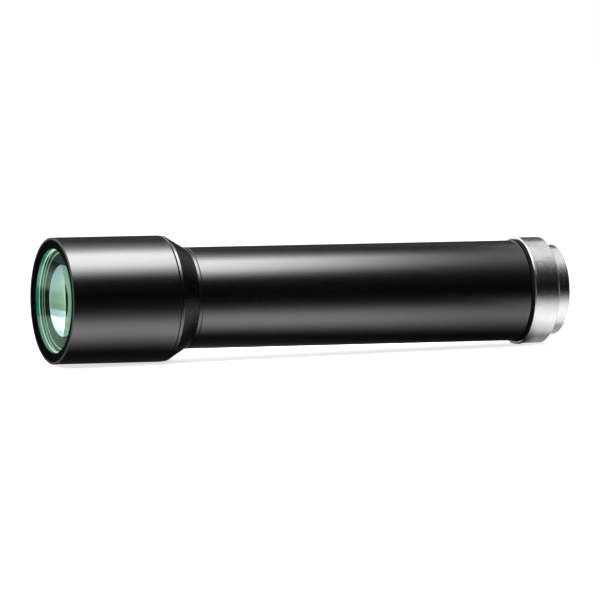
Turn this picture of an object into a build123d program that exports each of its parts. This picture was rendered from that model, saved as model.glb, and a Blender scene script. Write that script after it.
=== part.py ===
from build123d import *
import math
import os

# A fixed machine vision lens. Lengths are in millimetres and radii are named as radii.
# The optical axis is X. The camera's flange seats at x = 0, the camera lies toward +X,
# the front glass looks toward -X, and Z is up.

# Camera mount, a 1-32 UN thread and its flange
mount_thread_radius = 12.7
mount_thread_length = 4.15
mount_thread_chamfer = 0.3
thread_relief_width = 0.5
thread_relief_depth = 0.4
thread_relief_sink = 0.3
thread_relief_margin = 0.1
mount_band_radius = 14.95
mount_band_length = 6.8
mount_band_chamfer = 0.3
mount_lip_step = 0.35
mount_lip_length = 0.7
mount_lip_chamfer = 0.15
mount_throat_chamfer = 0.5

# The mount's spigot turns in a bushing, held by a ring screwed on its end
bushing_wall = 1.46
bushing_length = 4.5
spigot_wall = 1.5
spigot_thread_step = 0.5
spigot_thread_overrun = 0.3
mount_retaining_wall = 1.58
mount_retaining_length = 2.0
friction_washer_width = 0.95
friction_washer_thickness = 0.6
seal_step = 0.3
seal_thickness = 0.45

# Barrel
barrel_radius = 14.15
barrel_length = 99.3
barrel_wall = 1.85
barrel_socket_wall = 1.1
barrel_front_chamfer = 0.15
barrel_rear_chamfer = 0.35
rear_air_gap = 2.5

# Neck ring and cone collar
neck_step = 0.04
neck_length = 1.1
neck_chamfer = 0.15
collar_land_step = 0.15
collar_land_length = 0.95
collar_edge_chamfer = 0.3
collar_cone_length = 5.65
collar_front_wall = 1.7
collar_rear_wall = 1.65
collar_throat_taper = 8.0
collar_spigot_length = 7.0
neck_spigot_length = 8.4

# Head
head_radius = 17.6
head_length = 31.75
head_rim_wall = 0.65
head_rim_chamfer = 0.12
head_rear_chamfer = 0.2
head_socket_wall = 1.58
mouth_depth = 4.0
front_ring_wall = 1.4
front_ring_end_gap = 0.2
front_ring_setback = 0.08
front_ring_lip_width = 1.0
front_ring_lip_setback = 0.4
front_ring_lip_thickness = 0.15

# Front glasses: a radius of curvature is positive where its centre lies toward the camera
front_flint_curve = 240.0
front_flint_thickness = 3.0
front_cement_curve = 60.0
front_crown_thickness = 7.5
front_crown_curve = -75.0
front_spacer_length = 3.75
front_collector_curve = 70.0
front_collector_thickness = 5.2
glass_bevel = 0.2

# Baffles and aperture stop
baffle_names = ("front_baffle", "middle_baffle", "rear_baffle")
baffle_length = 3.6
baffle_wall = 0.9
baffle_lip_thickness = 0.8
baffle_edge_thickness = 0.2
baffle_margin = 0.5
stop_setback = 48.0
stop_radius = 8.0
stop_hole_radius = 2.2
stop_thickness = 0.5
stop_holder_length = 9.0
stop_holder_wall = 1.2
stop_web_thickness = 1.6
stop_seat_width = 1.0
stop_ring_length = 1.8

# Rear glasses and their cell
rear_glass_radius = 9.0
rear_seat_width = 0.8
cell_flange_length = 8.0
cell_lip_thickness = 1.2
cell_end_margin = 0.5
rear_singlet_thickness = 3.2
rear_singlet_curve = -32.0
rear_spacer_length = 3.0
rear_crown_curve = 25.0
rear_crown_thickness = 5.2
rear_cement_curve = -22.0
rear_flint_thickness = 1.8
rear_flint_curve = -70.0
rear_ring_length = 2.5
spanner_slot_width = 1.2
spanner_slot_depth = 0.8

# Clearances: radial in screwed and pushed fits, round the glasses and in the turning fit, and axial
thread_clearance = 0.02
glass_clearance = 0.03
turning_clearance = 0.05
cement_gap = 0.01
seat_gap = 0.01
washer_play = 0.03

# Radii, worked inward from the head, the barrel and the mount
mouth_radius = head_radius - head_rim_wall
front_ring_radius = mouth_radius - thread_clearance
front_bore_radius = front_ring_radius - front_ring_wall
front_glass_radius = front_bore_radius - glass_clearance
front_clear_radius = front_glass_radius - front_ring_lip_width
head_socket_radius = head_radius - head_socket_wall
collar_spigot_radius = head_socket_radius - thread_clearance
collar_mouth_radius = collar_spigot_radius - collar_front_wall
collar_land_radius = head_radius - collar_land_step

barrel_bore_radius = barrel_radius - barrel_wall
barrel_socket_radius = barrel_radius - barrel_socket_wall
neck_radius = barrel_radius + neck_step
neck_spigot_radius = barrel_socket_radius - thread_clearance
collar_throat_radius = neck_spigot_radius - collar_rear_wall
insert_radius = barrel_bore_radius - thread_clearance
bushing_radius = barrel_socket_radius - thread_clearance
bushing_bore_radius = bushing_radius - bushing_wall
seal_radius = barrel_radius + seal_step

spigot_radius = bushing_bore_radius - turning_clearance
spigot_thread_radius = spigot_radius - spigot_thread_step
mount_throat_radius = spigot_radius - spigot_wall
mount_lip_radius = mount_band_radius + mount_lip_step
mount_retaining_bore_radius = spigot_thread_radius + thread_clearance

rear_bore_radius = rear_glass_radius + glass_clearance
rear_clear_radius = rear_glass_radius - rear_seat_width
stop_recess_radius = stop_radius + glass_clearance
stop_clear_radius = stop_radius - stop_seat_width

# Places along the axis, from the camera's flange forward
lip_front = -mount_band_length - mount_lip_length
barrel_rear = lip_front - seal_thickness
barrel_front = barrel_rear - barrel_length
neck_front = barrel_front - neck_length
cone_front = neck_front - collar_cone_length
collar_front = cone_front - collar_land_length
rim = collar_front - head_length

bushing_front = barrel_rear - bushing_length
washer_rear = bushing_front - washer_play
washer_front = washer_rear - friction_washer_thickness
spigot_shoulder = washer_front - washer_play
spigot_front = spigot_shoulder - mount_retaining_length - spigot_thread_overrun

cell_rear = spigot_front - rear_air_gap
cell_flange_front = cell_rear - cell_flange_length
rear_socket_front = cell_flange_front - seat_gap
neck_spigot_rear = barrel_front + neck_spigot_length
front_socket_rear = neck_spigot_rear + seat_gap
stop_front = barrel_front + stop_setback
stop_holder_front = stop_front - seat_gap - stop_ring_length


def sag(curve, radius):
    """How far a spherical face falls behind its vertex at a radius. A flat face has no curve."""
    if math.isinf(curve):
        return 0.0
    return curve - math.copysign(math.sqrt(curve**2 - radius**2), curve)


# Front glasses, from the retaining ring's lip back to the housing's shoulder
flint_front = rim + front_ring_lip_setback + front_ring_lip_thickness + seat_gap
flint_front -= sag(front_flint_curve, front_clear_radius)
flint_rear = flint_front + front_flint_thickness
crown_front = flint_rear + cement_gap
crown_rear = crown_front + front_crown_thickness
front_spacer_front = crown_rear + sag(front_crown_curve, front_clear_radius) + seat_gap
front_spacer_rear = front_spacer_front + front_spacer_length
collector_front = front_spacer_rear + seat_gap - sag(front_collector_curve, front_clear_radius)
collector_rear = collector_front + front_collector_thickness
shoulder_front = collector_rear + seat_gap

# Rear glasses, from the cell's lip back to its retaining ring, as distances from the cell's front
singlet_front_in_cell = cell_lip_thickness + seat_gap
singlet_rear_in_cell = singlet_front_in_cell + rear_singlet_thickness
rear_spacer_front_in_cell = singlet_rear_in_cell + sag(rear_singlet_curve, rear_clear_radius) + seat_gap
rear_spacer_rear_in_cell = rear_spacer_front_in_cell + rear_spacer_length
rear_crown_front_in_cell = rear_spacer_rear_in_cell + seat_gap - sag(rear_crown_curve, rear_clear_radius)
rear_crown_rear_in_cell = rear_crown_front_in_cell + rear_crown_thickness
rear_flint_front_in_cell = rear_crown_rear_in_cell + cement_gap
rear_flint_rear_in_cell = rear_flint_front_in_cell + rear_flint_thickness
rear_ring_front_in_cell = rear_flint_rear_in_cell + sag(rear_flint_curve, rear_clear_radius) + seat_gap
cell_length = rear_ring_front_in_cell + rear_ring_length + cell_end_margin
cell_front = cell_rear - cell_length


def turned(outline):
    """A solid turned about the optical axis from a closed outline of (x, radius) corners."""
    with BuildPart() as part:
        with BuildSketch(Plane.XY):
            with BuildLine():
                Polyline(*outline, close=True)
            make_face()
        revolve(axis=Axis.X)
    return part.part


def sleeve(front, rear, outer_radius, inner_radius):
    """A plain ring from front to rear."""
    corners = [(front, inner_radius), (front, outer_radius), (rear, outer_radius), (rear, inner_radius)]
    return turned(corners)


def face_curve(vertex, curve, radius):
    """One glass face, from the axis out to a radius."""
    edge = (vertex + sag(curve, radius), radius)
    if math.isinf(curve):
        return Line((vertex, 0), edge)
    middle = (vertex + sag(curve, radius / 2), radius / 2)
    return ThreePointArc((vertex, 0), middle, edge)


def glass(front, thickness, front_curve, rear_curve, radius):
    """A lens element with spherical or flat faces, a ground edge and a small bevel at each rim."""
    rear = front + thickness
    face_radius = radius - glass_bevel
    front_edge = front + sag(front_curve, face_radius)
    rear_edge = rear + sag(rear_curve, face_radius)
    with BuildPart() as part:
        with BuildSketch(Plane.XY):
            with BuildLine():
                face_curve(front, front_curve, face_radius)
                Polyline(
                    (front_edge, face_radius),
                    (front_edge + glass_bevel, radius),
                    (rear_edge - glass_bevel, radius),
                    (rear_edge, face_radius),
                )
                face_curve(rear, rear_curve, face_radius)
                Line((rear, 0), (front, 0))
            make_face()
        revolve(axis=Axis.X)
    return part.part


def spanner_slots(ring, face, outer_radius):
    """Cuts two slots for a spanner across the rear face of a ring."""
    slot = Box(
        spanner_slot_depth,
        2 * outer_radius + spanner_slot_width,
        spanner_slot_width,
        align=(Align.MAX, Align.CENTER, Align.CENTER),
    )
    return ring - Pos(face, 0, 0) * slot


def light_radius(x):
    """Radius of the light's cone, which narrows from the last front glass to the aperture stop."""
    along = (x - collector_rear) / (stop_front - collector_rear)
    return front_clear_radius + along * (stop_hole_radius - front_clear_radius)


def front_housing():
    socket_front = collar_front - collar_spigot_length - seat_gap
    return turned([
        (rim, mouth_radius),
        (rim, head_radius - head_rim_chamfer),
        (rim + head_rim_chamfer, head_radius),
        (collar_front - head_rear_chamfer, head_radius),
        (collar_front, head_radius - head_rear_chamfer),
        (collar_front, head_socket_radius),
        (socket_front, head_socket_radius),
        (socket_front, front_clear_radius),
        (shoulder_front, front_clear_radius),
        (shoulder_front, front_bore_radius),
        (rim + mouth_depth, front_bore_radius),
        (rim + mouth_depth, mouth_radius),
    ])


def front_retaining_ring():
    lip_front_face = rim + front_ring_lip_setback
    lip_rear_face = lip_front_face + front_ring_lip_thickness
    ring_rear = rim + mouth_depth - front_ring_end_gap
    return turned([
        (lip_front_face, front_clear_radius),
        (rim + front_ring_setback, front_ring_radius),
        (ring_rear, front_ring_radius),
        (ring_rear, front_bore_radius),
        (lip_rear_face, front_bore_radius),
        (lip_rear_face, front_clear_radius),
    ])


def front_flint():
    return glass(
        flint_front, front_flint_thickness, front_flint_curve, front_cement_curve, front_glass_radius
    )


def front_crown():
    return glass(
        crown_front, front_crown_thickness, front_cement_curve, front_crown_curve, front_glass_radius
    )


def front_spacer():
    return sleeve(front_spacer_front, front_spacer_rear, front_glass_radius, front_clear_radius)


def front_collector():
    return glass(
        collector_front, front_collector_thickness, front_collector_curve, math.inf, front_glass_radius
    )


def cone_collar():
    spigot_front_face = collar_front - collar_spigot_length
    return turned([
        (spigot_front_face, collar_mouth_radius),
        (spigot_front_face, collar_spigot_radius),
        (collar_front, collar_spigot_radius),
        (collar_front, collar_land_radius - collar_edge_chamfer),
        (collar_front + collar_edge_chamfer, collar_land_radius),
        (cone_front, collar_land_radius),
        (neck_front, barrel_radius),
        (neck_front, neck_spigot_radius),
        (neck_spigot_rear, neck_spigot_radius),
        (neck_spigot_rear, collar_throat_radius),
        (collar_front + collar_throat_taper, collar_throat_radius),
        (collar_front, collar_mouth_radius),
    ])


def neck_ring():
    return turned([
        (neck_front, barrel_socket_radius),
        (neck_front, neck_radius - neck_chamfer),
        (neck_front + neck_chamfer, neck_radius),
        (barrel_front - neck_chamfer, neck_radius),
        (barrel_front, neck_radius - neck_chamfer),
        (barrel_front, barrel_socket_radius),
    ])


def main_barrel():
    return turned([
        (barrel_front, barrel_socket_radius),
        (barrel_front, barrel_radius - barrel_front_chamfer),
        (barrel_front + barrel_front_chamfer, barrel_radius),
        (barrel_rear - barrel_rear_chamfer, barrel_radius),
        (barrel_rear, barrel_radius - barrel_rear_chamfer),
        (barrel_rear, barrel_socket_radius),
        (rear_socket_front, barrel_socket_radius),
        (rear_socket_front, barrel_bore_radius),
        (front_socket_rear, barrel_bore_radius),
        (front_socket_rear, barrel_socket_radius),
    ])


def baffle(number):
    """A short sleeve with a lip that tapers to a thin edge just outside the light's cone."""
    pitch = (stop_holder_front - front_socket_rear) / (len(baffle_names) + 1)
    front = front_socket_rear + pitch * (number + 1) - baffle_length / 2
    inner = insert_radius - baffle_wall
    edge = light_radius(front) + baffle_margin
    return turned([
        (front, edge),
        (front, insert_radius),
        (front + baffle_length, insert_radius),
        (front + baffle_length, inner),
        (front + baffle_lip_thickness, inner),
        (front + baffle_edge_thickness, edge),
    ])


def stop_holder():
    seat = stop_front + stop_thickness + seat_gap
    web_rear = seat + stop_web_thickness
    holder_rear = stop_holder_front + stop_holder_length
    inner = insert_radius - stop_holder_wall
    return turned([
        (stop_holder_front, stop_recess_radius),
        (stop_holder_front, insert_radius),
        (holder_rear, insert_radius),
        (holder_rear, inner),
        (web_rear, inner),
        (web_rear, stop_clear_radius),
        (seat, stop_clear_radius),
        (seat, stop_recess_radius),
    ])


def aperture_stop():
    return sleeve(stop_front, stop_front + stop_thickness, stop_radius, stop_hole_radius)


def stop_retaining_ring():
    return sleeve(stop_holder_front, stop_front - seat_gap, stop_radius, stop_clear_radius)


def rear_cell():
    seat = cell_front + cell_lip_thickness
    return turned([
        (cell_front, rear_clear_radius),
        (cell_front, insert_radius),
        (cell_flange_front, insert_radius),
        (cell_flange_front, bushing_radius),
        (cell_rear, bushing_radius),
        (cell_rear, rear_bore_radius),
        (seat, rear_bore_radius),
        (seat, rear_clear_radius),
    ])


def rear_singlet():
    front = cell_front + singlet_front_in_cell
    return glass(front, rear_singlet_thickness, math.inf, rear_singlet_curve, rear_glass_radius)


def rear_spacer():
    front = cell_front + rear_spacer_front_in_cell
    return sleeve(front, front + rear_spacer_length, rear_glass_radius, rear_clear_radius)


def rear_crown():
    front = cell_front + rear_crown_front_in_cell
    return glass(front, rear_crown_thickness, rear_crown_curve, rear_cement_curve, rear_glass_radius)


def rear_flint():
    front = cell_front + rear_flint_front_in_cell
    return glass(front, rear_flint_thickness, rear_cement_curve, rear_flint_curve, rear_glass_radius)


def rear_retaining_ring():
    front = cell_front + rear_ring_front_in_cell
    rear = front + rear_ring_length
    ring = sleeve(front, rear, rear_glass_radius, rear_clear_radius)
    return spanner_slots(ring, rear, rear_glass_radius)


def mount_bushing():
    return sleeve(bushing_front, barrel_rear, bushing_radius, bushing_bore_radius)


def friction_washer():
    outer_radius = bushing_bore_radius + friction_washer_width
    return sleeve(washer_front, washer_rear, outer_radius, bushing_bore_radius)


def mount_retaining_ring():
    ring_front = spigot_shoulder - mount_retaining_length
    outer_radius = mount_retaining_bore_radius + mount_retaining_wall
    return sleeve(ring_front, spigot_shoulder, outer_radius, mount_retaining_bore_radius)


def seal_ring():
    return sleeve(barrel_rear, lip_front, seal_radius, bushing_bore_radius)


def mount_ring():
    """The relief at the thread's root also sinks into the flange, so a camera's face seats flat."""
    relief_radius = mount_thread_radius - thread_relief_depth
    relief_rim = mount_thread_radius + thread_relief_margin
    return turned([
        (spigot_front, mount_throat_radius),
        (spigot_front, spigot_thread_radius),
        (spigot_shoulder, spigot_thread_radius),
        (spigot_shoulder, spigot_radius),
        (lip_front, spigot_radius),
        (lip_front, mount_lip_radius - mount_lip_chamfer),
        (lip_front + mount_lip_chamfer, mount_lip_radius),
        (-mount_band_length - mount_lip_chamfer, mount_lip_radius),
        (-mount_band_length, mount_lip_radius - mount_lip_chamfer),
        (-mount_band_length, mount_band_radius),
        (-mount_band_chamfer, mount_band_radius),
        (0, mount_band_radius - mount_band_chamfer),
        (0, relief_rim),
        (-thread_relief_sink, relief_rim),
        (-thread_relief_sink, relief_radius),
        (thread_relief_width, relief_radius),
        (thread_relief_width, mount_thread_radius),
        (mount_thread_length - mount_thread_chamfer, mount_thread_radius),
        (mount_thread_length, mount_thread_radius - mount_thread_chamfer),
        (mount_thread_length, mount_throat_radius + mount_throat_chamfer),
        (mount_thread_length - mount_throat_chamfer, mount_throat_radius),
    ])


def build():
    """Every piece by name."""
    pieces = {
        "front_housing": front_housing(),
        "front_retaining_ring": front_retaining_ring(),
        "front_flint": front_flint(),
        "front_crown": front_crown(),
        "front_spacer": front_spacer(),
        "front_collector": front_collector(),
        "cone_collar": cone_collar(),
        "neck_ring": neck_ring(),
        "main_barrel": main_barrel(),
        "stop_holder": stop_holder(),
        "aperture_stop": aperture_stop(),
        "stop_retaining_ring": stop_retaining_ring(),
        "rear_cell": rear_cell(),
        "rear_singlet": rear_singlet(),
        "rear_spacer": rear_spacer(),
        "rear_crown": rear_crown(),
        "rear_flint": rear_flint(),
        "rear_retaining_ring": rear_retaining_ring(),
        "mount_bushing": mount_bushing(),
        "friction_washer": friction_washer(),
        "mount_retaining_ring": mount_retaining_ring(),
        "seal_ring": seal_ring(),
        "mount_ring": mount_ring(),
    }
    for number, name in enumerate(baffle_names):
        pieces[name] = baffle(number)
    return pieces


os.makedirs("parts", exist_ok=True)
for name, piece in build().items():
    piece.label = name
    export_step(piece, f"parts/{name}.step")
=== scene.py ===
"""Looks for a fixed machine vision lens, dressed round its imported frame.

Lengths are in metres. The optical axis is X, the camera's flange seats at x = 0, the front glass
looks toward -X and Z is up.
"""

import math

import bpy
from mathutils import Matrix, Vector


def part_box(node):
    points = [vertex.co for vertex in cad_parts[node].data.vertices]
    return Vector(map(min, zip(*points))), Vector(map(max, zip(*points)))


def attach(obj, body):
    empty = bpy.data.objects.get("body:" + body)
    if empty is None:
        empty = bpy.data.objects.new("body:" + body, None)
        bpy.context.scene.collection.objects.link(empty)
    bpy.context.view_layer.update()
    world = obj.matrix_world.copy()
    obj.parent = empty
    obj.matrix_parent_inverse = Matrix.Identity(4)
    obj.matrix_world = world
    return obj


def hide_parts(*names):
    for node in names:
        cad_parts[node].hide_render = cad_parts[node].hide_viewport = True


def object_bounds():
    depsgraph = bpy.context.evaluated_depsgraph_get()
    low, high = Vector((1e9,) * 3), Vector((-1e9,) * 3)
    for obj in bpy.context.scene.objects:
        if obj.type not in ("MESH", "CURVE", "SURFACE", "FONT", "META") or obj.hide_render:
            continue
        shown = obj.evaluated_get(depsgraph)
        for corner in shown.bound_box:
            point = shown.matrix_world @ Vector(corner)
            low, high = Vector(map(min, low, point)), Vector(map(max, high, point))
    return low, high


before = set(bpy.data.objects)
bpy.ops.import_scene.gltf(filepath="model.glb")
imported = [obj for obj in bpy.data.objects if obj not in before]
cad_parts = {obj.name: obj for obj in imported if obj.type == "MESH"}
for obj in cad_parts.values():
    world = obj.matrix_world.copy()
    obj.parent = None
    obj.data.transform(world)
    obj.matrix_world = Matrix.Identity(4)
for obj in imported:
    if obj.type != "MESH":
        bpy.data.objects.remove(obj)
cad_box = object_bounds()

bl_info = {
    "name": "Machine vision lens",
    "version": (1, 0, 0),
    "blender": (4, 5, 0),
    "location": "3D View > Sidebar > Vision lens",
    "description": "Finishes, glass and studio for a fixed machine vision lens",
    "category": "Object",
}


# Points closer together than this are one
TOUCHING = 1e-6
# How far in from a glass's rim its ground edge and bevels reach
EDGE_DEPTH = 0.00025
# Material slots of a front glass, whose plain faces have slot 0
EDGE_SLOT, JOINT_SLOT = 1, 2
# Facets round a front glass, and rings of them across its clear part and its inked margin
FACETS_ROUND, CLEAR_RINGS, INKED_RINGS = 128, 12, 8
# Faces of a front glass that turn less than this are shaded as one
CREASE = math.radians(20)
# How softly the ground edge's colours meet, how wide its pale rim (a painted highlight) is, and how
# softly the seam ends
EDGE_FADE, EDGE_PALE, SEAM_FADE = 0.0004, 0.0003, 0.00015
# How softly a ring of the inked margin starts and ends
INNER_FADE, OUTER_FADE = 0.00005, 0.0001
# How softly a finish gives way to the next along the lens
FINISH_FADE = 0.0002
# Refractive index of the anodised layer
ANODISED_INDEX = 1.77
# How far sharp edges are rounded, as radii at two places along X
BARREL_EDGE = ((-0.05, 0.0001), (-0.02, 0.0003))
MOUNT_EDGE = ((-0.006, 0.0003), (-0.004, 0.0001))
# Inks that are lighter than this in every colour glow, a painted highlight
PALE = 0.5

DOME_RADIUS = 1.6
# How clear the dark dome is, from the camera's side at -1 to behind the lens at 1
DOME_CLEAR = (
    (-1.0, 0.003), (0.1, 0.003), (0.35, 0.15), (0.5, 0.22), (0.7, 0.2), (0.82, 0.1), (1.0, 0.08),
)
# Past the mount the dome clears less: from one place along X to another, and the share at each
DOME_REAR = (0.7, 1.2, 1.0, 0.1)
# Windows in the dome: how clear each is at most, and where it is shut and open along an axis
DOME_WINDOWS = {
    "horizon": (0.55, ("Z", 0.25, 0.10), ("Y", -0.32, -0.16), ("X", 0.40, 0.25)),
    "left": (0.15, ("X", -0.75, -0.95), ("Y", 0.20, 0.0)),
    "right": (0.40, ("X", 1.30, 1.40), ("Z", 0.20, 0.05), ("Y", 0.20, 0.35)),
    "above": (1.00, ("X", 0.95, 1.05), ("Z", 0.65, 0.80)),
}
# Seen through glass the dome glows below a height, a painted reflection that only the glass shows.
# Lower down its colour turns, and its level too, which is in shares of the painted reflection's
# brightness
DOME_GLOW_TOP = (0.40, 0.35)
DOME_GLOW_TURN = (0.05, 0.08)
DOME_GLOW = (0.8, 1.5)
# The dark cloth's size, how far behind the axis its middle lies, and its height over the floor
CLOTH_SIZE = (4.0, 3.2)
CLOTH_BEHIND = 0.3
CLOTH_HEIGHT = 0.0002
# Only reflections see the cloth: its dark parts paint a shadow under the lens, and shade past the
# lit floor in front
# How clear the cloth is in front of the lens and under it, from the camera's side, where dark is
# painted shade
CLOTH_BY_BARREL = (
    (-0.120, 0.01), (-0.069, 0.05), (-0.050, 0.15), (-0.0385, 0.40), (-0.031, 0.8), (-0.026, 1.0),
    (-0.0200, 1.0), (-0.0170, 0.75), (-0.0125, 0.2), (-0.0100, 0.03), (-0.004, 0.05), (0.02, 0.5),
    (0.05, 1.0),
)
CLOTH_BY_MOUNT = (
    (-0.160, 0.01), (-0.090, 0.06), (-0.065, 0.15), (-0.050, 0.28), (-0.0365, 0.55), (-0.029, 0.72),
    (-0.0237, 0.85), (-0.0202, 0.95), (-0.0171, 1.0), (-0.0098, 1.0), (-0.0085, 0.8),
    (-0.0070, 0.4), (-0.0050, 0.55), (0.02, 0.8), (0.05, 1.0),
)
# Where along X the mount's part takes over, and how it falls from one share to another past there
CLOTH_TO_MOUNT = (-0.006, -0.003)
CLOTH_PAST_MOUNT = (0.03, 0.10, 0.64, 0.02)
CLOTH_ALONG = ((-0.08, 0.95), (-0.05, 0.82), (-0.02, 0.60), (0.0, 0.58), (0.10, 0.02))
# The cloth's slot leans with the floor, which rises toward the mount
CLOTH_SKEW = 0.035
CLOTH_SKEW_FROM = -0.12
# Windows in the cloth, as in the dome
CLOTH_WINDOWS = {
    "left": (0.5, ("X", -0.28, -0.40), ("Y", 0.05, 0.0)),
    "right": (0.4, ("X over Y", 0.9, 1.3), ("X over Y", 6.0, 4.0), ("X", 0.10, 0.20)),
}
# Seen through glass the cloth glows as a painted reflection, and turns its colour between two
# places along Y
CLOTH_GLOW_TURN = (0.06, 0.16)
# The dark strip behind that the front glass mirrors as a band: a painted dark reflection
STRIP = ((0.19, 1.0), (0.21, 0.05), (0.44, 0.05), (0.52, 1.0), (0.8, 0.9), (1.3, 0.3))
# The strip fans out from the glass, so its sides are places along X over places along Y
STRIP_FAN = ((-0.80, 1.0), (-0.54, 0.0), (-0.24, 0.0), (-0.06, 1.0))
# How bright the overhead softbox is along the lens and across it
KEY_ALONG = (
    (-0.17, 0.90), (0.0, 0.95), (0.014, 0.85), (0.028, 0.73), (0.043, 0.54), (0.065, 0.25),
    (0.080, 0.095), (0.090, 0.035), (0.098, 0.015), (0.12, 0.0), (0.24, 0.0),
)
KEY_ACROSS = (
    (-0.34, 0.0), (-0.26, 0.2), (-0.20, 0.5), (-0.16, 0.78), (-0.12, 1.0), (0.01, 1.0),
    (0.05, 0.45), (0.10, 0.15), (0.18, 0.05), (0.30, 0.0),
)
# How bright it is across the lens over the mount, where that is added
KEY_OVER_MOUNT = (
    (-0.34, 0.0), (-0.26, 0.01), (-0.18, 0.025), (-0.12, 0.065), (-0.07, 0.11), (0.0, 0.14),
    (0.08, 0.14), (0.15, 0.14), (0.30, 0.14),
)
# A surface mirrors the softbox this much nearer the mount straight overhead, and more off to a side
KEY_REACH = 0.12
# Where along the lens the surfaces begin that mirror the mount's part of the softbox
KEY_TO_MOUNT = (-0.005, 0.008)
# Toward the mount the softbox leans away from the camera
KEY_SKEW = 0.8
KEY_SKEW_FROM = 0.04
# The softbox behind: the way to it from the front glass, how far off it is, and its size
BACK_WAY = (-0.55, 0.83, 0.50)
BACK_DISTANCE = 1.0
BACK_SIZE = (1.25, 0.72)


class StudioSettings(bpy.types.PropertyGroup):
    """The camera, the floor and the lights."""

    aim: bpy.props.FloatVectorProperty(
        name="Aim", description="Point the camera looks at", subtype="TRANSLATION", unit="LENGTH",
        default=(-0.0728, -0.00007, -0.00132), precision=5,
    )
    azimuth: bpy.props.FloatProperty(
        name="Azimuth", description="Camera's turn round the lens", subtype="ANGLE",
        default=math.radians(-21.85),
    )
    elevation: bpy.props.FloatProperty(
        name="Elevation", description="Camera's height over the axis as an angle", subtype="ANGLE",
        default=math.radians(3.385),
    )
    distance: bpy.props.FloatProperty(
        name="Distance", description="Camera to aim point", unit="LENGTH", default=2.4651,
    )
    focal_length: bpy.props.FloatProperty(
        name="Focal length", description="On a sensor 36 mm wide, in millimetres", default=528.98,
    )
    floor_radius: bpy.props.FloatProperty(
        name="Floor radius", description="Size of the round floor", unit="LENGTH", default=6.0,
    )
    floor_colour: bpy.props.FloatVectorProperty(
        name="Floor colour", description="Pale matte floor", subtype="COLOR", size=3,
        default=(0.90, 0.90, 0.90), min=0.0, max=1.0,
    )
    floor_white: bpy.props.FloatProperty(
        name="Floor white", description="What the far floor lacks of the backdrop's white",
        default=0.70,
    )
    surround: bpy.props.FloatProperty(
        name="Surround", description="Light that the white surround gives", default=0.35,
    )
    key_height: bpy.props.FloatProperty(
        name="Key height", description="Softbox over the head, above the axis", unit="LENGTH",
        default=0.30,
    )
    back_radiance: bpy.props.FloatProperty(
        name="Back brightness", description="How bright the softbox behind the glass is",
        default=2.4,
    )
    # Painted reflection: how brightly the dark cards glow for light that has crossed glass
    painted_reflection_level: bpy.props.FloatProperty(
        name="Low panel brightness", description="Floor behind, as the glass shows it",
        default=1.6,
    )
    # Painted reflection colour of the cards' parts near the lens, seen only through glass
    painted_near_reflection: bpy.props.FloatVectorProperty(
        name="Near panel colour", description="Floor close behind, as the glass shows it",
        subtype="COLOR", size=3, default=(0.93, 0.98, 1.0), min=0.0, max=1.0,
    )
    # Painted reflection colour of the cards' farther parts, seen only through glass
    painted_low_reflection: bpy.props.FloatVectorProperty(
        name="Low panel colour", description="Floor behind, as the glass shows it",
        subtype="COLOR", size=3, default=(0.75, 1.0, 0.68), min=0.0, max=1.0,
    )
    key_radiance: bpy.props.FloatProperty(
        name="Key brightness", description="How bright the softbox's hottest part is", default=10.8,
    )


class LensFinishes(bpy.types.PropertyGroup):
    """Colours and grain of the lens's own surfaces."""

    black: bpy.props.FloatVectorProperty(
        name="Anodised black", description="Body of the head, cone and barrel", subtype="COLOR",
        size=3, default=(0.0010, 0.0010, 0.0011), min=0.0, max=1.0,
    )
    silver: bpy.props.FloatVectorProperty(
        name="Satin silver", description="Camera mount", subtype="COLOR", size=3,
        default=(0.73, 0.73, 0.74), min=0.0, max=1.0,
    )
    inner_black: bpy.props.FloatVectorProperty(
        name="Inner black", description="Matt black of the parts inside", subtype="COLOR", size=3,
        default=(0.006, 0.006, 0.007), min=0.0, max=1.0,
    )
    aluminium: bpy.props.FloatVectorProperty(
        name="Bare aluminium", description="Turned parts inside the mount", subtype="COLOR",
        size=3, default=(0.68, 0.68, 0.69), min=0.0, max=1.0,
    )
    bronze: bpy.props.FloatVectorProperty(
        name="Bronze", description="Friction washer", subtype="COLOR", size=3,
        default=(0.52, 0.34, 0.16), min=0.0, max=1.0,
    )
    rubber: bpy.props.FloatVectorProperty(
        name="Rubber", description="Seal ring", subtype="COLOR", size=3,
        default=(0.0012, 0.0012, 0.0013), min=0.0, max=1.0,
    )
    land_length: bpy.props.FloatProperty(
        name="Land length", description="Glossy land between the head and the cone", unit="LENGTH",
        default=0.00095, precision=5,
    )
    grain: bpy.props.FloatProperty(
        name="Blast grain", description="Size of the bead blast's dimples", unit="LENGTH",
        default=0.0004, precision=5,
    )
    silver_grain: bpy.props.FloatProperty(
        name="Silver grain", description="Size of the dimples on the mount", unit="LENGTH",
        default=0.00036, precision=5,
    )


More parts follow.
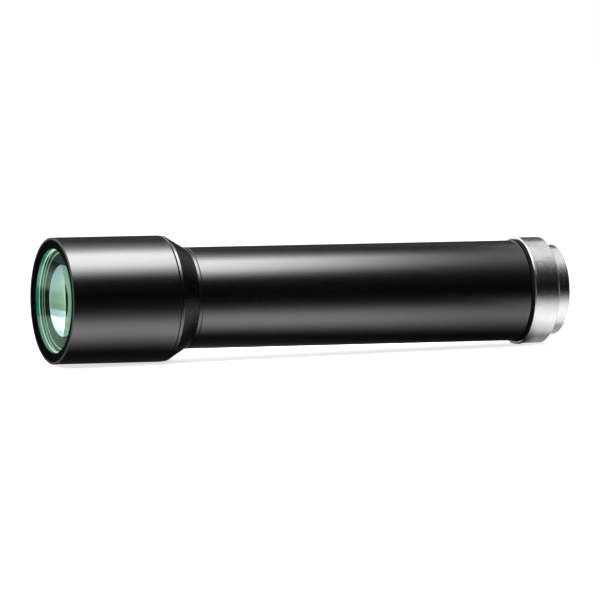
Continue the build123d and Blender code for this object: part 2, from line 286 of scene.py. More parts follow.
class GlassSettings(bpy.types.PropertyGroup):
    """Curves and colours of the front glasses."""

    index: bpy.props.FloatProperty(
        name="Refractive index", description="Of the front pair", default=1.56,
    )
    tint: bpy.props.FloatVectorProperty(
        name="Glass tint", description="Body colour of the glass", subtype="COLOR", size=3,
        default=(0.94, 1.0, 0.97), min=0.0, max=1.0,
    )
    coating: bpy.props.FloatVectorProperty(
        name="Coating tint", description="Colour of the coating's reflections", subtype="COLOR",
        size=3, default=(0.4, 1.0, 0.95), min=0.0, max=1.0,
    )
    inner_coating: bpy.props.FloatVectorProperty(
        name="Inner coating tint", description="Colour of the rear coating's reflections",
        subtype="COLOR", size=3, default=(0.62, 0.98, 1.0), min=0.0, max=1.0,
    )
    rear_coating: bpy.props.FloatVectorProperty(
        name="Rear group tint", description="Colour of the rear group's reflections",
        subtype="COLOR", size=3, default=(1.0, 0.75, 0.45), min=0.0, max=1.0,
    )
    front_film: bpy.props.FloatProperty(
        name="Front coating", description="Thickness in nanometres", default=120.0,
    )
    front_film_index: bpy.props.FloatProperty(
        name="Front coating index", description="Refractive index", default=1.28,
    )
    rear_film: bpy.props.FloatProperty(
        name="Rear coating", description="Thickness in nanometres", default=100.0,
    )
    rear_film_index: bpy.props.FloatProperty(
        name="Rear coating index", description="Refractive index", default=2.2,
    )
    rear_group_film: bpy.props.FloatProperty(
        name="Rear group coating", description="Thickness in nanometres", default=150.0,
    )
    rear_group_film_index: bpy.props.FloatProperty(
        name="Rear group coating index", description="Refractive index", default=1.38,
    )
    front_edge: bpy.props.FloatVectorProperty(
        name="Front edge", description="Ground rim of the flint", subtype="COLOR", size=3,
        default=(0.02, 0.60, 0.45), min=0.0, max=1.0,
    )
    # Painted highlight: this pale colour of the seam, of the ground edge's rim and of the margin's
    # fine line stands in for light that the cemented rim mirrors
    seam: bpy.props.FloatVectorProperty(
        name="Seam", description="Pale line where the pair is cemented", subtype="COLOR", size=3,
        default=(0.8, 1.0, 0.75), min=0.0, max=1.0,
    )
    rear_edge: bpy.props.FloatVectorProperty(
        name="Rear edge", description="Ground rim of the crown", subtype="COLOR", size=3,
        default=(0.10, 0.13, 0.09), min=0.0, max=1.0,
    )
    ink: bpy.props.FloatVectorProperty(
        name="Ink", description="Inked margin on the crown's rear face", subtype="COLOR", size=3,
        default=(0.004, 0.010, 0.012), min=0.0, max=1.0,
    )
    # Painted shade: the dark inner band of the green crescent that the far rim mirrors
    shade: bpy.props.FloatVectorProperty(
        name="Shade", description="Deep green ring in the margin", subtype="COLOR", size=3,
        default=(0.0, 0.012, 0.0), min=0.0, max=1.0,
    )
    # Painted reflection: the bright green crescent that the far rim mirrors, which glows too
    painted_stray_light: bpy.props.FloatVectorProperty(
        name="Stray green", description="Green ring that the far rim shows", subtype="COLOR",
        size=3, default=(0.55, 1.0, 0.65), min=0.0, max=1.0,
    )
    # Painted highlight: emission that makes the pale seam glow, though no lamp lights it
    painted_glow: bpy.props.FloatProperty(
        name="Glint", description="Light that the pale seam catches", default=0.5,
    )
    # Painted highlight: emission that makes the margin's pale line and green ring glow, though no
    # lamp lights them
    margin_painted_glow: bpy.props.FloatProperty(
        name="Stray glint", description="Light that the stray green ring catches", default=0.15,
    )
    # The fine pale line in the margin is a painted highlight
    painted_highlight_line: bpy.props.FloatVectorProperty(
        name="Ink line", description="Radii of the fine pale line in the inked margin", size=2,
        unit="LENGTH", default=(0.01305, 0.0132), precision=5,
    )
    shade_ring: bpy.props.FloatVectorProperty(
        name="Shade ring", description="Radii of the deep green ring", size=2, unit="LENGTH",
        default=(0.01395, 0.01445), precision=5,
    )
    stray_ring: bpy.props.FloatVectorProperty(
        name="Stray ring", description="Radii of the stray green ring", size=2, unit="LENGTH",
        default=(0.01448, 0.0148), precision=5,
    )
    seam_ring: bpy.props.FloatVectorProperty(
        name="Seam ring", description="Radii of the pale line round the cement", size=2,
        unit="LENGTH", default=(0.01385, 0.01435), precision=5,
    )
    ink_radius: bpy.props.FloatProperty(
        name="Clear radius", description="Inside the inked margin", unit="LENGTH", default=0.0097,
        precision=5,
    )
    flint_curve: bpy.props.FloatProperty(
        name="Front curve", description="Radius of the front face", unit="LENGTH", default=0.240,
    )
    flint_thickness: bpy.props.FloatProperty(
        name="Flint thickness", description="On the axis", unit="LENGTH", default=0.003,
        precision=5,
    )
    cement_curve: bpy.props.FloatProperty(
        name="Cement curve", description="Radius of the cemented face", unit="LENGTH",
        default=0.060,
    )
    crown_thickness: bpy.props.FloatProperty(
        name="Crown thickness", description="On the axis", unit="LENGTH", default=0.0075,
        precision=5,
    )
    crown_curve: bpy.props.FloatProperty(
        name="Rear curve", description="Radius of the pair's rear face", unit="LENGTH",
        default=-0.075,
    )
    bevel: bpy.props.FloatProperty(
        name="Bevel", description="At each rim of a glass", unit="LENGTH", default=0.0002,
        precision=5,
    )


def deselect():
    """Nothing stays selected or active."""
    for thing in bpy.context.selected_objects:
        thing.select_set(False)
    bpy.context.view_layer.objects.active = None


def material(name):
    """A fresh node material, its Principled shader and its node tree."""
    made = bpy.data.materials.new(name)
    made.use_nodes = True
    tree = made.node_tree
    return made, tree.nodes["Principled BSDF"], tree


def bare_material(name):
    """A fresh material without a shader, its node tree and the socket that takes one."""
    made, _, tree = material(name)
    tree.nodes.clear()
    return made, tree, node(tree, "ShaderNodeOutputMaterial").inputs["Surface"]


def node(tree, kind, **values):
    """A node with its own settings, and its inputs by name or number."""
    made = tree.nodes.new(kind)
    inputs = values.pop("inputs", {})
    for key, value in values.items():
        setattr(made, key, value)
    for key, value in inputs.items():
        if isinstance(value, bpy.types.NodeSocket):
            tree.links.new(value, made.inputs[key])
        else:
            made.inputs[key].default_value = value
    return made


def place(tree):
    """Where a point lies on the piece, in metres along the lens's own axes."""
    return node(tree, "ShaderNodeTexCoord").outputs["Object"]


def axes(tree):
    """A point's place along each of the lens's own axes, by the axis's name."""
    outputs = node(tree, "ShaderNodeSeparateXYZ", inputs={0: place(tree)}).outputs
    return {axis: outputs[axis] for axis in "XYZ"}


def noise(tree, size, detail=3.0, rough=0.6, where=None):
    """Soft random mottling with features of a size in metres."""
    return node(
        tree, "ShaderNodeTexNoise",
        inputs={"Vector": where or place(tree), "Scale": 1.0 / size, "Detail": detail,
                "Roughness": rough},
    ).outputs["Fac"]


def between(tree, value, low, high, at_low=0.0, at_high=1.0):
    """A value taken from low..high to at_low..at_high."""
    return node(
        tree, "ShaderNodeMapRange",
        inputs={"Value": value, "From Min": low, "From Max": high, "To Min": at_low,
                "To Max": at_high},
    ).outputs["Result"]


def maths(tree, operation, first, second):
    """One sum on two values."""
    made = node(tree, "ShaderNodeMath", operation=operation, inputs={0: first, 1: second})
    return made.outputs[0]


def times(tree, first, *others):
    """Values multiplied together."""
    for other in others:
        first = maths(tree, "MULTIPLY", first, other)
    return first


def largest(tree, first, *others):
    """The largest of some values."""
    for other in others:
        first = maths(tree, "MAXIMUM", first, other)
    return first


def seen(tree):
    """1 for what the camera, a reflection or clear glass sees, and 0 for other light."""
    path = node(tree, "ShaderNodeLightPath").outputs
    return largest(tree, path["Is Camera Ray"], path["Is Glossy Ray"], path["Is Transmission Ray"])


def through_glass(tree):
    """1 for light that has crossed a face of glass."""
    crossed = node(tree, "ShaderNodeLightPath").outputs["Transmission Depth"]
    return maths(tree, "GREATER_THAN", crossed, 0.5)


def colour_at(tree, value, stops):
    """A colour drawn by (place, colour) stops, straight between them."""
    low, high = stops[0][0], stops[-1][0]
    made = node(tree, "ShaderNodeValToRGB", inputs={0: between(tree, value, low, high)})
    points = made.color_ramp.elements
    while len(points) < len(stops):
        points.new(0.5)
    for point, (where, colour) in zip(points, stops):
        point.position = (where - low) / (high - low)
        point.color = (*colour, 1.0)
    return made.outputs["Color"]


def level_at(tree, value, stops):
    """A level drawn by (place, level) stops, straight between them."""
    return colour_at(tree, value, [(where, (level, level, level)) for where, level in stops])


def mixed(tree, share, first, second, **settings):
    """A colour mixed from two. A Mix node takes them at inputs 6 and 7 and gives it at output 2."""
    return node(tree, "ShaderNodeMix", data_type="RGBA",
                inputs={0: share, 6: first, 7: second}, **settings).outputs[2]


def blend(tree, share, first, second):
    """A colour from first to second by share."""
    return mixed(tree, share, (*first, 1.0), (*second, 1.0))


def shaded(tree, colour, share):
    """A colour made darker or lighter by a share."""
    return mixed(tree, 1.0, colour, share, blend_type="MULTIPLY")


def mottled(tree, colour, size, darkest, lightest):
    """A colour that wanders from a darker to a lighter share of itself."""
    return blend(tree, noise(tree, size), [part * darkest for part in colour],
                 [min(1.0, part * lightest) for part in colour])


def broken(tree, edge):
    """Normals that round sharp edges, by one radius or by a radius at two places along X."""
    if isinstance(edge, tuple):
        (low, at_low), (high, at_high) = edge
        edge = between(tree, axes(tree)["X"], low, high, at_low, at_high)
    return node(tree, "ShaderNodeBevel", samples=6, inputs={"Radius": edge}).outputs["Normal"]


def roughen(tree, shader, height, depth, edge, strength=1.0):
    """Gives a surface fine relief and rounded edges."""
    bump = node(tree, "ShaderNodeBump", inputs={"Height": height, "Distance": depth,
                                               "Strength": strength, "Normal": broken(tree, edge)})
    tree.links.new(bump.outputs["Normal"], shader.inputs["Normal"])


def blasted(name, colour, grain, gloss, depth, ior, metal=0.0, level=0.5, edge=0.0003,
            dull_to=None):
    """Bead-blasted metal: fine dimples, broken edges, and a front face that may be duller."""
    made, shader, tree = material(name)
    shader.inputs["Metallic"].default_value = metal
    shader.inputs["IOR"].default_value = ior
    shader.inputs["Specular IOR Level"].default_value = level
    tint = mottled(tree, colour, size=grain * 12, darkest=0.85, lightest=1.12)
    dimples = noise(tree, grain, rough=0.65)
    speck = between(tree, dimples, 0.35, 0.65, at_low=0.88, at_high=1.04)
    tree.links.new(shaded(tree, tint, speck), shader.inputs["Base Color"])
    roughness = between(tree, dimples, 0.3, 0.7, *gloss)
    if dull_to is not None:
        dull = between(tree, axes(tree)["X"], dull_to, dull_to + FINISH_FADE, at_low=0.5,
                       at_high=0.0)
        roughness = maths(tree, "ADD", roughness, dull)
    tree.links.new(roughness, shader.inputs["Roughness"])
    roughen(tree, shader, dimples, depth, edge)
    return made


def polish(made, end):
    """A clear gloss over blasted metal, as far along the lens as its end."""
    tree = made.node_tree
    shader = tree.nodes["Principled BSDF"]
    land = between(tree, axes(tree)["X"], end, end + FINISH_FADE, at_low=1.0, at_high=0.0)
    tree.links.new(land, shader.inputs["Coat Weight"])
    shader.inputs["Coat IOR"].default_value = ANODISED_INDEX
    shader.inputs["Coat Roughness"].default_value = 0.2


def lathed(name, colour, gloss):
    """Bare turned metal, with fine tool lines round the axis."""
    made, shader, tree = material(name)
    shader.inputs["Metallic"].default_value = 1.0
    at = axes(tree)
    along = node(tree, "ShaderNodeCombineXYZ", inputs={"X": at["X"], "Y": from_axis(tree, at)})
    lines = noise(tree, 0.00012, detail=2.0, where=along.outputs["Vector"])
    tint = mottled(tree, colour, size=0.004, darkest=0.8, lightest=1.15)
    tree.links.new(tint, shader.inputs["Base Color"])
    tree.links.new(between(tree, lines, 0.3, 0.7, *gloss), shader.inputs["Roughness"])
    roughen(tree, shader, lines, depth=0.000005, edge=0.0002, strength=0.6)
    return made


def rubber(name, colour):
    """Moulded black rubber: dull, faintly dusty and a little uneven."""
    made, shader, tree = material(name)
    shader.inputs["IOR"].default_value = 1.25
    dust = noise(tree, 0.0015, detail=4.0, rough=0.7)
    tint = blend(tree, dust, colour, [part * 2.5 for part in colour])
    tree.links.new(tint, shader.inputs["Base Color"])
    roughness = between(tree, dust, 0.3, 0.7, at_low=0.65, at_high=0.85)
    tree.links.new(roughness, shader.inputs["Roughness"])
    roughen(tree, shader, dust, depth=0.00002, edge=0.0002, strength=0.5)
    return made


def from_axis(tree, at):
    """A point's distance from the optical axis."""
    squares = maths(tree, "ADD", times(tree, at["Y"], at["Y"]), times(tree, at["Z"], at["Z"]))
    return maths(tree, "POWER", squares, 0.5)


def dress(made, *names):
    """Gives nodes of the frame a material."""
    for name in names:
        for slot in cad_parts[name].material_slots:
            slot.material = made


def sag(curve, radius):
    """How far a spherical face has moved along the axis at a radius from it."""
    return curve - math.copysign(math.sqrt(curve * curve - radius * radius), curve)


def turned(name, outline):
    """A closed piece spun about the optical axis from an outline of (x, radius) corners.

    A small plane merged into one point starts the outline, and the rest is drawn out of it.
    """
    deselect()
    bpy.ops.mesh.primitive_plane_add(size=0.001, location=(outline[0][0], outline[0][1], 0))
    piece = bpy.context.object
    piece.name = name
    bpy.ops.object.transform_apply(location=True, rotation=True, scale=True)
    bpy.ops.object.mode_set(mode="EDIT")
    bpy.ops.mesh.select_all(action="SELECT")
    bpy.ops.mesh.merge(type="CENTER")
    for (x, radius), (next_x, next_radius) in zip(outline, outline[1:]):
        move = (next_x - x, next_radius - radius, 0)
        bpy.ops.mesh.extrude_region_move(TRANSFORM_OT_translate={"value": move})
    bpy.ops.mesh.select_all(action="SELECT")
    bpy.ops.mesh.spin(steps=FACETS_ROUND, angle=2 * math.pi, center=(0, 0, 0), axis=(1, 0, 0))
    bpy.ops.mesh.select_all(action="SELECT")
    bpy.ops.mesh.remove_doubles(threshold=TOUCHING)
    bpy.ops.mesh.normals_make_consistent(inside=False)
    bpy.ops.object.mode_set(mode="OBJECT")
    bpy.ops.object.shade_smooth_by_angle(angle=CREASE)
    return piece


def element(name, front, front_curve, rear, rear_curve, radius, bevel, clear):
    """A lens element with two spherical faces, a ground edge and a bevel at each rim."""
    face = radius - bevel
    radii = [clear * ring / CLEAR_RINGS for ring in range(CLEAR_RINGS)]
    radii += [clear + (face - clear) * ring / INKED_RINGS for ring in range(INKED_RINGS + 1)]
    outline = [(front + sag(front_curve, r), r) for r in radii]
    outline.append((outline[-1][0] + bevel, radius))
    outline.append((rear + sag(rear_curve, face) - bevel, radius))
    outline += [(rear + sag(rear_curve, r), r) for r in reversed(radii)]
    return turned(name, outline)


def faces(piece):
    """Each face of a piece with its corners."""
    for polygon in piece.data.polygons:
        yield polygon, [piece.data.vertices[i].co for i in polygon.vertices]


def on_sphere(corners, vertex, curve):
    """Whether corners lie on a spherical face that crosses the axis at its vertex."""
    middle = Vector((vertex + curve, 0, 0))
    return all(abs((corner - middle).length - abs(curve)) < TOUCHING for corner in corners)


def beyond(corners, radius):
    """Whether corners lie as far from the axis as a radius."""
    return all(math.hypot(corner.y, corner.z) > radius - TOUCHING for corner in corners)


def finish_glass(piece, face, edge, joint, vertex, curve):
    """Gives the faces, the ground edge and the cemented joint their finishes."""
    for made in (face, edge, joint):
        piece.data.materials.append(made)
    rim = max(corner.co.z for corner in piece.data.vertices)
    for polygon, corners in faces(piece):
        if beyond(corners, rim - EDGE_DEPTH):
            polygon.material_index = EDGE_SLOT
        elif on_sphere(corners, vertex, curve):
            polygon.material_index = JOINT_SLOT


def ink_rim(piece, made, vertex, curve, radius):
    """Inks the outer part of one spherical face, as far in as a radius."""
    piece.data.materials.append(made)
    slot = len(piece.data.materials) - 1
    for polygon, corners in faces(piece):
        if on_sphere(corners, vertex, curve) and beyond(corners, radius):
            polygon.material_index = slot


def rings(*parts):
    """Stops for even colours, each held from its first place to its last."""
    return [(where, colour) for colour, *places in parts for where in places]


def ink(name, stops, along=False, painted_glow=0.0):
    """Dull ink on ground glass, coloured by radius or along the axis, and glowing where pale as a
    painted highlight.
    """
    made, shader, tree = material(name)
    at = axes(tree)
    value = at["X"] if along else from_axis(tree, at)
    mottle = between(tree, noise(tree, 0.0008), 0.3, 0.7, at_low=0.85, at_high=1.15)
    glow = [(where, colour if min(colour) > PALE else (0.0, 0.0, 0.0)) for where, colour in stops]
    for socket, drawn in (("Base Color", stops), ("Emission Color", glow)):
        tree.links.new(shaded(tree, colour_at(tree, value, drawn), mottle), shader.inputs[socket])
    shader.inputs["Emission Strength"].default_value = painted_glow
    shader.inputs["Roughness"].default_value = 0.6
    shader.inputs["IOR"].default_value = 1.2
    return made


def clear_glass(name, glass, coating, film, film_index):
    """Polished glass with a trace of haze, and a thin coating that colours its reflections."""
    made, shader, tree = material(name)
    shader.inputs["Base Color"].default_value = (*glass.tint, 1.0)
    haze = between(tree, noise(tree, 0.003), 0.45, 0.75, at_low=0.0, at_high=0.012)
    tree.links.new(haze, shader.inputs["Roughness"])
    shader.inputs["IOR"].default_value = glass.index
    shader.inputs["Transmission Weight"].default_value = 1.0
    shader.inputs["Specular Tint"].default_value = (*coating, 1.0)
    shader.inputs["Thin Film Thickness"].default_value = film
    shader.inputs["Thin Film IOR"].default_value = film_index
    return made


def clear_joint(name):
    """The cemented joint, which light crosses without bending."""
    made, tree, surface = bare_material(name)
    open_air = node(tree, "ShaderNodeBsdfTransparent")
    tree.links.new(open_air.outputs[0], surface)
    return made


def card(dark):
    """Makes an object a card that only reflections see, and gives what its shader needs."""
    made, tree, surface = bare_material(dark.name)
    dark.data.materials.append(made)
    dark.visible_camera = False
    dark.visible_diffuse = False
    dark.visible_shadow = False
    return tree, axes(tree), surface


def shade_card(tree, surface, clear, crossed, colour, strength):
    """Draws a card: black but for where it is clear, and aglow as a painted reflection where light
    has crossed glass.
    """
    black = node(tree, "ShaderNodeEmission",
                 inputs={"Color": colour, "Strength": times(tree, crossed, strength)})
    open_air = node(tree, "ShaderNodeBsdfTransparent")
    clear = times(tree, clear, maths(tree, "SUBTRACT", 1.0, crossed))
    mix = node(tree, "ShaderNodeMixShader",
               inputs={0: clear, 1: black.outputs[0], 2: open_air.outputs[0]})
    tree.links.new(mix.outputs[0], surface)


def with_windows(tree, clear, at, windows):
    """How clear a card is with its windows, each shut at one place and open at the next."""
    for most, *fades in windows.values():
        opened = [between(tree, at[axis], shut, wide) for axis, shut, wide in fades]
        clear = largest(tree, clear, times(tree, most, *opened))
    return clear


class LENS_OT_camera(bpy.types.Operator):
    """Sets up the camera"""

    bl_idname = "lens.camera"
    bl_label = "Camera"

    def execute(self, context):
        studio = context.scene.lens_studio
        aim = Vector(studio.aim)
        away = Vector((
            math.sin(studio.azimuth) * math.cos(studio.elevation),
            -math.cos(studio.azimuth) * math.cos(studio.elevation),
            math.sin(studio.elevation),
        ))
        bpy.ops.object.camera_add(location=aim + away * studio.distance)
        camera = context.object
        camera.name = "camera"
        camera.rotation_euler = (-away).to_track_quat("-Z", "Y").to_euler()
        camera.data.sensor_width = 36.0
        camera.data.lens = studio.focal_length
        camera.data.clip_start = 0.01
        camera.data.clip_end = 100.0
        context.scene.camera = camera
        return {"FINISHED"}


class LENS_OT_stage(bpy.types.Operator):
    """Lays the floor, and sets the surround, the softboxes and the dark cards"""

    bl_idname = "lens.stage"
    bl_label = "Floor and lights"

    def execute(self, context):
        studio = context.scene.lens_studio
        context.scene.view_settings.view_transform = "Standard"
        self.surround(context.scene, studio)
        middle, lean = self.rest()
        self.floor(studio, middle, lean)
        self.softbox(studio)
        self.back_softbox(studio)
        self.dome(studio)
        self.cloth(studio, middle, lean)
        return {"FINISHED"}

    def surround(self, scene, studio):
        """A white surround, whose light is dimmer than its look.

        Its strength depends on the kind of ray, so it isn't sampled as a lamp.
        """
        world = bpy.data.worlds.new("surround")
        scene.world = world
        world.use_nodes = True
        tree = world.node_tree
        white = tree.nodes["Background"]
        white.inputs["Color"].default_value = (1, 1, 1, 1)
        strength = between(tree, seen(tree), 0.0, 1.0, studio.surround, 1.0)
        tree.links.new(strength, white.inputs["Strength"])
        world.cycles.sampling_method = "NONE"

    def rest(self):
        """Where the floor lies so that the head and the mount's lip rest on it, and its lean."""
        head_low, head_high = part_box("front_housing")
        mount_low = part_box("mount_ring")[0]
        head_rest = Vector((head_high.x, 0, head_low.z))
        mount_rest = Vector((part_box("seal_ring")[1].x, 0, mount_low.z))
        lean = math.atan2(mount_rest.z - head_rest.z, mount_rest.x - head_rest.x)
        return (head_rest + mount_rest) / 2, lean

    def floor(self, studio, middle, lean):
        """A round pale floor under the lens."""
        deselect()
        bpy.ops.mesh.primitive_circle_add(
            vertices=96, radius=studio.floor_radius, fill_type="NGON", location=middle,
            rotation=(0, -lean, 0),
        )
        floor = bpy.context.object
        floor.name = "floor"
        made, shader, tree = material("pale_floor")
        shader.inputs["Base Color"].default_value = (*studio.floor_colour, 1.0)
        shader.inputs["Roughness"].default_value = 1.0
        shader.inputs["Specular IOR Level"].default_value = 0.0
        shader.inputs["Emission Color"].default_value = (1, 1, 1, 1)
        glow = between(tree, seen(tree), 0.0, 1.0, 0.0, studio.floor_white)
        tree.links.new(glow, shader.inputs["Emission Strength"])
        floor.data.materials.append(made)

    def softbox(self, studio):
        """One long softbox over the lens, hot over the head and weak over the mount."""
        deselect()
        length = KEY_ALONG[-1][0] - KEY_ALONG[0][0]
        width = KEY_ACROSS[-1][0] - KEY_ACROSS[0][0]
        middle = (KEY_ALONG[0][0] + length / 2, KEY_ACROSS[0][0] + width / 2, studio.key_height)
        bpy.ops.mesh.primitive_plane_add(size=1.0, location=middle, rotation=(math.pi, 0, 0))
        box = bpy.context.object
        box.name = "softbox_overhead"
        box.scale = (length, width, 1.0)
        bpy.ops.object.transform_apply(location=True, rotation=True, scale=True)
        made, tree, surface = bare_material("softbox_cloth")
        at = axes(tree)
        lean = between(tree, at["X"], KEY_SKEW_FROM, KEY_SKEW_FROM + 1.0, 0.0, KEY_SKEW)
        across = maths(tree, "SUBTRACT", at["Y"], lean)
        main_part = times(tree, level_at(tree, at["X"], KEY_ALONG),
                          level_at(tree, across, KEY_ACROSS))
        slope = maths(tree, "DIVIDE", at["Y"], studio.key_height)
        stretch = maths(tree, "POWER", maths(tree, "ADD", 1.0, times(tree, slope, slope)), 0.5)
        mirrored_by = maths(tree, "SUBTRACT", at["X"], times(tree, stretch, KEY_REACH))
        mount_part = times(tree, level_at(tree, at["Y"], KEY_OVER_MOUNT),
                           between(tree, mirrored_by, *KEY_TO_MOUNT))
        level = times(tree, maths(tree, "ADD", main_part, mount_part), studio.key_radiance)
        glow = node(tree, "ShaderNodeEmission", inputs={"Strength": level})
        tree.links.new(glow.outputs[0], surface)
        box.data.materials.append(made)
        box.visible_camera = False
        box.visible_shadow = False

    def back_softbox(self, studio):
        """A softbox behind the lens, which the front glass mirrors."""
        front = Vector((cad_box[0][0], 0, 0))
        stand = front + Vector(BACK_WAY).normalized() * BACK_DISTANCE
        facing = (front - stand).to_track_quat("-Z", "Y").to_euler()
        bpy.ops.object.light_add(type="AREA", location=stand, rotation=facing)
        back = bpy.context.object
        back.name = "softbox_behind_glass"
        back.data.shape = "RECTANGLE"
        back.data.size, back.data.size_y = BACK_SIZE
        back.data.energy = studio.back_radiance * math.pi * BACK_SIZE[0] * BACK_SIZE[1]
        back.visible_camera = False

    def dome(self, studio):
        """A black dome, as a studio uses to keep black metal deep; only reflections see it, and
        through glass it glows as a painted reflection.
        """
        deselect()
        bpy.ops.mesh.primitive_uv_sphere_add(segments=64, ring_count=32, radius=DOME_RADIUS)
        dome = bpy.context.object
        dome.name = "dark_dome"
        tree, at, surface = card(dome)
        back = between(tree, at["Y"], -DOME_RADIUS, DOME_RADIUS, -1.0, 1.0)
        upper = times(tree, level_at(tree, back, DOME_CLEAR), between(tree, at["X"], *DOME_REAR))
        clear = with_windows(tree, upper, at, DOME_WINDOWS)
        # Through glass the dome glows: a painted reflection of the floor behind
        crossed = times(tree, through_glass(tree), between(tree, at["Z"], *DOME_GLOW_TOP))
        high = between(tree, at["Z"], *DOME_GLOW_TURN)
        colour = blend(tree, high, studio.painted_low_reflection, studio.painted_near_reflection)
        levels = [studio.painted_reflection_level * share for share in DOME_GLOW]
        strength = between(tree, high, 0.0, 1.0, *levels)
        shade_card(tree, surface, clear, crossed, colour, strength)

    def cloth(self, studio, middle, lean):
        """A black cloth on the floor that only reflections see, painting shade into them, with a
        clear slot that the lens's underside mirrors.
        """
        deselect()
        bpy.ops.mesh.primitive_plane_add(
            size=1.0, location=(middle.x, CLOTH_BEHIND, middle.z + CLOTH_HEIGHT),
            rotation=(0, -lean, 0),
        )
        cloth = bpy.context.object
        cloth.name = "painted_shade_cloth"
        cloth.scale = (*CLOTH_SIZE, 1.0)
        bpy.ops.object.transform_apply(location=True, rotation=True, scale=True)
        tree, at, surface = card(cloth)
        skew = between(tree, at["X"], CLOTH_SKEW_FROM, CLOTH_SKEW_FROM + 1.0, 0.0, CLOTH_SKEW)
        across = maths(tree, "SUBTRACT", at["Y"], skew)
        # Painted shade in reflections: dark under the lens and past the lit floor in front
        barrel_part = times(tree, level_at(tree, across, CLOTH_BY_BARREL),
                            level_at(tree, at["X"], CLOTH_ALONG))
        mount_part = times(tree, level_at(tree, at["Y"], CLOTH_BY_MOUNT),
                           between(tree, at["X"], *CLOTH_PAST_MOUNT))
        by_mount = between(tree, at["X"], *CLOTH_TO_MOUNT)
        slot = node(tree, "ShaderNodeMix",
                    inputs={0: by_mount, 2: barrel_part, 3: mount_part}).outputs[0]
        from_glass = maths(tree, "SUBTRACT", at["X"], cad_box[0][0])
        fan = level_at(tree, maths(tree, "DIVIDE", from_glass, at["Y"]), STRIP_FAN)
        slot = times(tree, slot, largest(tree, level_at(tree, at["Y"], STRIP), fan))
        at["X over Y"] = maths(tree, "DIVIDE", at["X"], at["Y"])
        clear = with_windows(tree, slot, at, CLOTH_WINDOWS)
        turn = between(tree, at["Y"], *CLOTH_GLOW_TURN)
        colour = blend(tree, turn, studio.painted_near_reflection, studio.painted_low_reflection)
        shade_card(tree, surface, clear, through_glass(tree), colour, studio.painted_reflection_level)


class LENS_OT_black_metal(bpy.types.Operator):
    """Anodised black for the head, cone, neck and barrel"""

    bl_idname = "lens.black_metal"
    bl_label = "Black metal"

    def execute(self, context):
        finishes = context.scene.lens_finishes
        dye, grain = finishes.black, finishes.grain
        anodised = {"gloss": (0.17, 0.27), "depth": 0.00002, "ior": ANODISED_INDEX}
        black = blasted("anodised_black", dye, grain, edge=BARREL_EDGE, **anodised)
        dress(black, "neck_ring", "main_barrel")
        head = blasted("anodised_head", dye, grain, edge=0.0001, dull_to=cad_box[0][0], **anodised)
        dress(head, "front_housing")
        dull = blasted("dull_black", dye, grain, gloss=(0.45, 0.6), depth=0.00001, ior=1.06,
                       level=0.1)
        dress(dull, "front_retaining_ring")
        matte = blasted("matte_black", dye, grain, gloss=(0.22, 0.32), depth=0.00001, ior=1.24)
        polish(matte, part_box("front_housing")[1].x + finishes.land_length)
        dress(matte, "cone_collar")
        return {"FINISHED"}


class LENS_OT_front_pair(bpy.types.Operator):
    """Cemented front pair, with coated faces, ground edges and a clear joint"""

    bl_idname = "lens.front_pair"
    bl_label = "Front pair"

    def execute(self, context):
        glass = context.scene.lens_glass
        flint_low, flint_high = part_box("front_flint")
        crown_low, crown_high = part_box("front_crown")
        flint_rear = flint_low.x + glass.flint_thickness
        crown_rear = crown_low.x + glass.crown_thickness
        coated = clear_glass("coated_front", glass, glass.coating, glass.front_film,
                             glass.front_film_index)
        inner = clear_glass("coated_rear", glass, glass.inner_coating, glass.rear_film,
                            glass.rear_film_index)
        joint = clear_joint("glass_joint")
        edge = ink("ground_edge", rings(
            (glass.front_edge, flint_low.x, flint_high.x),
            (glass.rear_edge, flint_high.x + EDGE_FADE, crown_high.x - EDGE_PALE),
            # The pale end of the ground edge is a painted highlight
            (glass.seam, crown_high.x),
        ), along=True)

        seam_radius = glass.seam_ring[0]
        flint = element("front_flint_glass", flint_low.x, glass.flint_curve, flint_rear,
                        glass.cement_curve, flint_high.z, glass.bevel, seam_radius)
        finish_glass(flint, coated, edge, joint, flint_rear, glass.cement_curve)
        # The pale ring round the cement is a painted highlight, and glows
        seam = ink("cement_seam", rings(
            (glass.seam, *glass.seam_ring),
            (glass.front_edge, glass.seam_ring[1] + SEAM_FADE, flint_high.z),
        ), painted_glow=glass.painted_glow)
        ink_rim(flint, seam, flint_rear, glass.cement_curve, seam_radius)
        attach(flint, "barrel")
        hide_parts("front_flint")

        crown = element("front_crown_glass", crown_low.x, glass.cement_curve, crown_rear,
                        glass.crown_curve, crown_high.z, glass.bevel, glass.ink_radius)
        finish_glass(crown, inner, edge, joint, crown_low.x, glass.cement_curve)
        # The margin's rings paint a highlight line and the dark and bright bands of the crescent
        # that the rim mirrors
        margin = ink("rim_ink", rings(
            (glass.ink, glass.ink_radius, glass.painted_highlight_line[0] - INNER_FADE),
            (glass.seam, *glass.painted_highlight_line),
            (glass.rear_edge, glass.painted_highlight_line[1] + OUTER_FADE, glass.shade_ring[0] - INNER_FADE),
            (glass.shade, *glass.shade_ring),
            (glass.painted_stray_light, *glass.stray_ring),
            (glass.rear_edge, glass.stray_ring[1] + OUTER_FADE, crown_high.z),
        ), painted_glow=glass.margin_painted_glow)
        ink_rim(crown, margin, crown_rear, glass.crown_curve, glass.ink_radius)
        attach(crown, "barrel")
        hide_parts("front_crown")
        return {"FINISHED"}


class LENS_OT_silver_metal(bpy.types.Operator):
    """Satin silver for the camera mount"""

    bl_idname = "lens.silver_metal"
    bl_label = "Silver metal"

    def execute(self, context):
        finishes = context.scene.lens_finishes
        silver = blasted("satin_silver", finishes.silver, finishes.silver_grain, gloss=(0.14, 0.26),
                         depth=0.00003, ior=1.5, metal=1.0, edge=MOUNT_EDGE)
        dress(silver, "mount_ring")
        return {"FINISHED"}


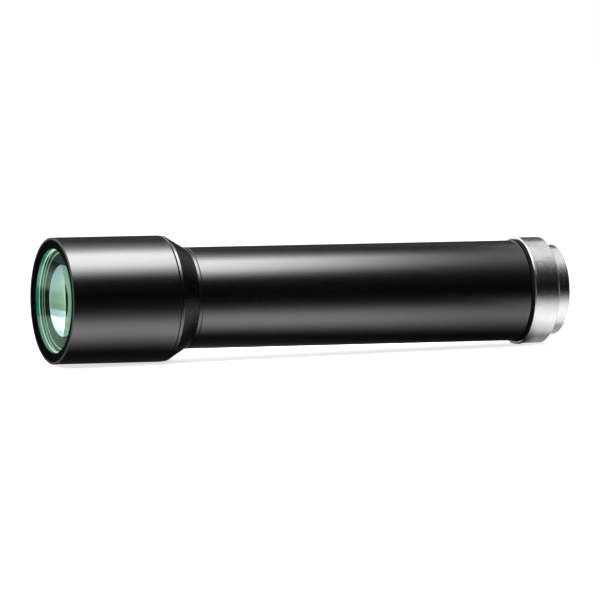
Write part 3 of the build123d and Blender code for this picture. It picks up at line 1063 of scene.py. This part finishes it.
class LENS_OT_inner_black(bpy.types.Operator):
    """Light-absorbing black for the rings, baffles, stop and cell inside"""

    bl_idname = "lens.inner_black"
    bl_label = "Inner black"

    def execute(self, context):
        finishes = context.scene.lens_finishes
        dye, grain = finishes.inner_black, finishes.grain
        black = blasted("inner_matt_black", dye, grain, gloss=(0.5, 0.7), depth=0.00001, ior=1.35)
        dress(black, "front_spacer", "front_baffle", "middle_baffle", "rear_baffle", "stop_holder",
              "stop_retaining_ring", "rear_cell", "rear_spacer", "rear_retaining_ring")
        foil = blasted("stop_foil", dye, grain, gloss=(0.35, 0.5), depth=0.000005, ior=1.5,
                       edge=0.00005)
        dress(foil, "aperture_stop")
        return {"FINISHED"}


class LENS_OT_inner_metal(bpy.types.Operator):
    """Turned aluminium for the mount's bushing and retaining ring, bronze for its washer"""

    bl_idname = "lens.inner_metal"
    bl_label = "Inner metal"

    def execute(self, context):
        finishes = context.scene.lens_finishes
        bare = lathed("turned_aluminium", finishes.aluminium, gloss=(0.22, 0.38))
        dress(bare, "mount_bushing", "mount_retaining_ring")
        bronze = lathed("turned_bronze", finishes.bronze, gloss=(0.25, 0.42))
        dress(bronze, "friction_washer")
        return {"FINISHED"}


class LENS_OT_seal(bpy.types.Operator):
    """Black rubber for the seal ahead of the mount"""

    bl_idname = "lens.seal"
    bl_label = "Seal"

    def execute(self, context):
        dress(rubber("seal_rubber", context.scene.lens_finishes.rubber), "seal_ring")
        return {"FINISHED"}


class LENS_OT_inner_glass(bpy.types.Operator):
    """Coated glass for the collector and the rear group"""

    bl_idname = "lens.inner_glass"
    bl_label = "Inner glass"

    def execute(self, context):
        glass = context.scene.lens_glass
        green = clear_glass("coated_collector", glass, glass.inner_coating, glass.rear_film,
                            glass.rear_film_index)
        dress(green, "front_collector")
        amber = clear_glass("coated_rear_group", glass, glass.rear_coating,
                            glass.rear_group_film, glass.rear_group_film_index)
        dress(amber, "rear_singlet", "rear_crown", "rear_flint")
        return {"FINISHED"}


STEPS = (
    LENS_OT_camera, LENS_OT_stage, LENS_OT_black_metal, LENS_OT_front_pair, LENS_OT_silver_metal,
    LENS_OT_inner_black, LENS_OT_inner_metal, LENS_OT_seal, LENS_OT_inner_glass,
)


class LENS_PT_panel(bpy.types.Panel):
    """Lists the steps that dress the lens"""

    bl_idname = "LENS_PT_panel"
    bl_label = "Vision lens"
    bl_space_type = "VIEW_3D"
    bl_region_type = "UI"
    bl_category = "Vision lens"

    def draw(self, context):
        for step in STEPS:
            self.layout.operator(step.bl_idname)


CLASSES = (StudioSettings, LensFinishes, GlassSettings, *STEPS, LENS_PT_panel)


def register():
    for each in CLASSES:
        bpy.utils.register_class(each)
    bpy.types.Scene.lens_studio = bpy.props.PointerProperty(type=StudioSettings)
    bpy.types.Scene.lens_finishes = bpy.props.PointerProperty(type=LensFinishes)
    bpy.types.Scene.lens_glass = bpy.props.PointerProperty(type=GlassSettings)


def unregister():
    del bpy.types.Scene.lens_glass
    del bpy.types.Scene.lens_finishes
    del bpy.types.Scene.lens_studio
    for each in reversed(CLASSES):
        bpy.utils.unregister_class(each)


def main():
    register()
    for step in STEPS:
        group, name = step.bl_idname.split(".")
        getattr(getattr(bpy.ops, group), name)()


if __name__ == "__main__":
    main()
